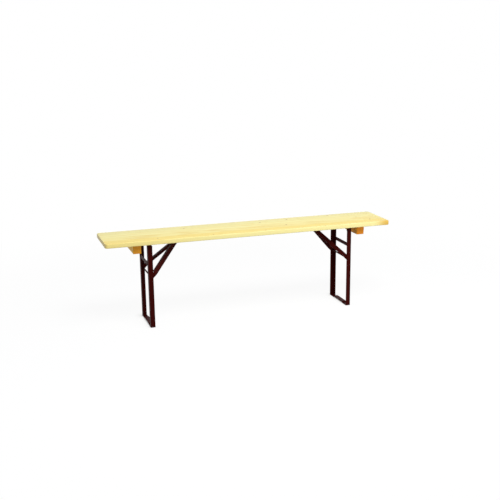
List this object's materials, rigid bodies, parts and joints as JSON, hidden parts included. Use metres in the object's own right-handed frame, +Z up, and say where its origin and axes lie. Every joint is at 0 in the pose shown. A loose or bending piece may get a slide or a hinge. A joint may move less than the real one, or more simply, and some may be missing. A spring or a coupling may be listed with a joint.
{
  "type": "folding bench",
  "caption": "Long narrow bench with a pine seat board, steel angle leg frames that fold flat underneath, V-shaped braces and sheet-steel latches.",
  "frame": {"origin": "on the floor under the middle of the seat board, which is the middle of the bounding box's base with both leg frames open", "axes": "+X along the bench's length, +Y across the seat from the front rails to the back rails, +Z up; the bench stands with both leg frames open"},
  "size_m": [1.6, 0.28, 0.48],
  "materials": {
    "pine_board": "clear-varnished pale yellow pine, glued from strips, satin",
    "pine_batten": "clear-varnished pale yellow pine, satin",
    "painted_steel": "dark oxblood paint, satin",
    "zinc_latch": "bright zinc plate",
    "zinc_screws": "zinc plate"
  },
  "bodies": {
    "seat": {"seat_board": "pine_board", "left_batten": "pine_batten", "right_batten": "pine_batten", "left_batten_screw_1": "zinc_screws", "left_batten_screw_2": "zinc_screws", "right_batten_screw_1": "zinc_screws", "right_batten_screw_2": "zinc_screws", "left_hinge_bracket": "painted_steel", "right_hinge_bracket": "painted_steel", "left_bracket_screw_1": "zinc_screws", "left_bracket_screw_2": "zinc_screws", "left_bracket_screw_3": "zinc_screws", "right_bracket_screw_1": "zinc_screws", "right_bracket_screw_2": "zinc_screws", "right_bracket_screw_3": "zinc_screws", "left_front_hinge_rivet": "painted_steel", "left_back_hinge_rivet": "painted_steel", "right_front_hinge_rivet": "painted_steel", "right_back_hinge_rivet": "painted_steel", "left_latch_base": "zinc_latch", "right_latch_base": "zinc_latch", "left_latch_screw_1": "zinc_screws", "left_latch_screw_2": "zinc_screws", "right_latch_screw_1": "zinc_screws", "right_latch_screw_2": "zinc_screws", "left_bolt_guide": "zinc_latch", "right_bolt_guide": "zinc_latch"},
    "left_leg": {"left_front_rail": "painted_steel", "left_back_rail": "painted_steel", "left_foot_bar": "painted_steel", "left_cross_bar": "painted_steel", "left_brace_rod": "painted_steel"},
    "left_brace": {"left_brace_front_arm": "painted_steel", "left_brace_back_arm": "painted_steel", "left_apex_pin": "painted_steel"},
    "left_bolt": {"left_latch_bolt": "zinc_latch"},
    "right_leg": {"right_front_rail": "painted_steel", "right_back_rail": "painted_steel", "right_foot_bar": "painted_steel", "right_cross_bar": "painted_steel", "right_brace_rod": "painted_steel"},
    "right_brace": {"right_brace_front_arm": "painted_steel", "right_brace_back_arm": "painted_steel", "right_apex_pin": "painted_steel"},
    "right_bolt": {"right_latch_bolt": "zinc_latch"}
  },
  "joints": [
    {"name": "left_leg_fold", "type": "hinge", "parent": "seat", "child": "left_leg", "pos_m": [-0.562, 0, 0.441], "axis": [0, -1, 0], "range_deg": [0, 90]},
    {"name": "left_brace_fold", "type": "hinge", "parent": "left_leg", "child": "left_brace", "pos_m": [-0.562, 0, 0.275], "axis": [0, -1, 0], "range_deg": [-135, 0]},
    {"name": "left_bolt_slide", "type": "slide", "parent": "seat", "child": "left_bolt", "axis": [1, 0, 0], "range_m": [0, 0.01]},
    {"name": "right_leg_fold", "type": "hinge", "parent": "seat", "child": "right_leg", "pos_m": [0.562, 0, 0.441], "axis": [0, 1, 0], "range_deg": [0, 90]},
    {"name": "right_brace_fold", "type": "hinge", "parent": "right_leg", "child": "right_brace", "pos_m": [0.562, 0, 0.275], "axis": [0, 1, 0], "range_deg": [-135, 0]},
    {"name": "right_bolt_slide", "type": "slide", "parent": "seat", "child": "right_bolt", "axis": [-1, 0, 0], "range_m": [0, 0.01]}
  ],
  "couplings": [
    {"joint": "left_brace_fold", "follows": "left_leg_fold", "ratio": -1.5},
    {"joint": "right_brace_fold", "follows": "right_leg_fold", "ratio": -1.5}
  ]
}
